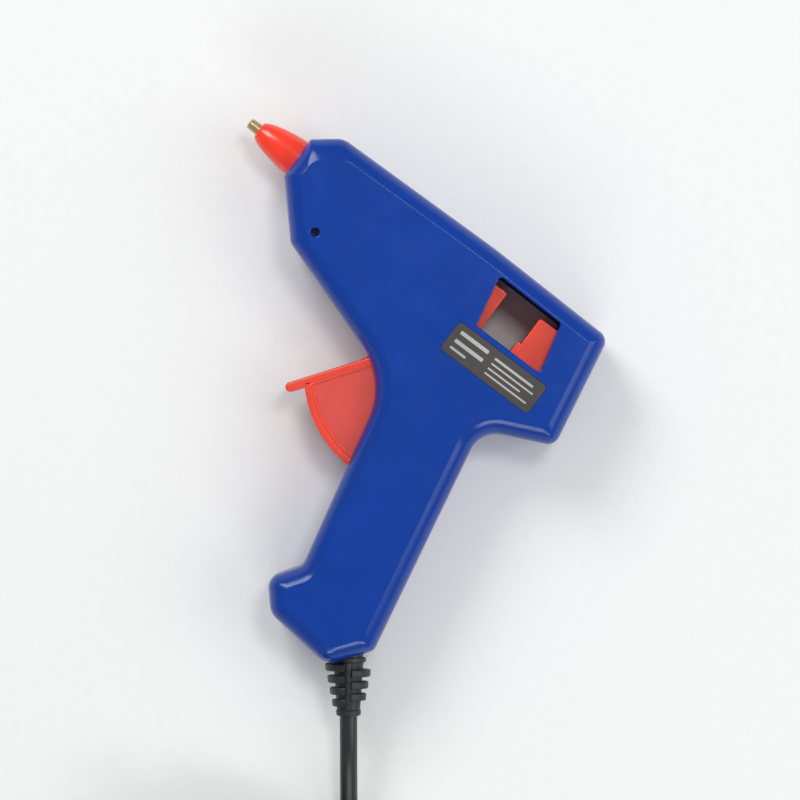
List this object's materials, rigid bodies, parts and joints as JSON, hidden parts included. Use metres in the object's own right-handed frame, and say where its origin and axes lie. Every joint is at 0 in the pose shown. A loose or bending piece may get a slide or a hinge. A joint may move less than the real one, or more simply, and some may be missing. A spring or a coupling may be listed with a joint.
{
  "type": "hot glue gun",
  "caption": "Small trigger-fed hot glue gun with a pistol grip, a soft cone boot on its nozzle, a see-through feed window and a mains cord.",
  "frame": {"origin": "middle of the gun without its cord, on the surface that its right side rests on", "axes": "+X along the barrel towards the stick inlet, +Y towards the top of the gun, +Z out of its left side"},
  "size_m": [0.1758, 0.2468, 0.027],
  "materials": {
    "shell_blue": "glossy injection-moulded plastic",
    "feed_red": "satin injection-moulded plastic",
    "boot_red": "soft silicone rubber",
    "label_grey": "printed film label",
    "brass": "turned",
    "steel": "zinc-plated",
    "cast_alloy": "as cast",
    "spring_steel": "drawn wire",
    "ceramic_grey": "sintered",
    "film_amber": "heat-proof film",
    "ring_ivory": "heat-proof moulding",
    "silicone_white": "silicone rubber",
    "lead_brown": "wire insulation",
    "lead_blue": "wire insulation",
    "clamp_plastic": "moulded",
    "relief_black": "soft moulded",
    "cord_black": "extruded sheath",
    "plug_black": "moulded",
    "plug_metal": "nickel-plated",
    "tie_black": "moulded strap"
  },
  "bodies": {
    "root": {"left_housing": "shell_blue", "right_housing": "shell_blue", "housing_screws": "steel", "rating_label": "label_grey", "nozzle": "brass", "nozzle_boot": "boot_red", "valve_spring": "spring_steel", "valve_seat": "brass", "melt_chamber": "cast_alloy", "ptc_heater": "ceramic_grey", "heater_electrodes": "cast_alloy", "heater_insulation": "film_amber", "heater_clip": "spring_steel", "insulating_rings": "ring_ivory", "inlet_sleeve": "silicone_white", "sleeve_clamp": "spring_steel", "return_spring": "spring_steel", "trigger_pivot_pin": "steel", "live_lead": "lead_brown", "neutral_lead": "lead_blue", "lead_sleeves": "silicone_white", "cord_clamp": "clamp_plastic", "clamp_screws": "steel", "strain_relief": "relief_black", "cord_inner": "cord_black", "power_cord": "cord_black", "cord_coil": "cord_black", "cord_tail": "cord_black", "cord_tie": "tie_black", "plug_body": "plug_black", "plug_pins": "plug_metal"},
    "trigger": {"trigger": "feed_red", "trigger_link_pin": "steel"},
    "feed_link": {"feed_link": "steel"},
    "carriage": {"carriage": "feed_red", "lever_pivot_pin": "steel"},
    "grip_lever": {"grip_lever": "steel", "lever_link_pin": "steel"},
    "valve_ball": {"valve_ball": "spring_steel"}
  },
  "joints": [
    {"name": "trigger_pull", "type": "hinge", "parent": "root", "child": "trigger", "pos_m": [0.02004, 0.02039, 0.0135], "axis": [0, 0, 1], "range_deg": [0, 24], "stiffness_Nm_per_rad": 0.15, "springref_deg": -17.19},
    {"name": "link_swing", "type": "hinge", "parent": "trigger", "child": "feed_link", "pos_m": [0.02285, 0.03359, 0.0135], "axis": [0, 0, 1], "range_deg": [-24.5, 0]},
    {"name": "carriage_slide", "type": "slide", "parent": "root", "child": "carriage", "axis": [-1, 0, 0], "range_m": [0, 0.0051], "deforming": ["return_spring"]},
    {"name": "grip_tilt", "type": "hinge", "parent": "carriage", "child": "grip_lever", "pos_m": [0.04174, 0.03989, 0.0135], "axis": [0, 0, 1], "range_deg": [-6.5, 0]},
    {"name": "valve_lift", "type": "slide", "parent": "root", "child": "valve_ball", "axis": [-1, 0, 0], "range_m": [0, 0.001], "stiffness_N_per_m": 200, "springref_m": -0.0005, "deforming": ["valve_spring"]}
  ],
  "couplings": [
    {"joint": "link_swing", "follows": "trigger_pull", "ratio": -1},
    {"joint": "carriage_slide", "follows": "trigger_pull", "m_per_rad": 0.01194},
    {"joint": "grip_tilt", "follows": "trigger_pull", "ratio": -0.25}
  ]
}
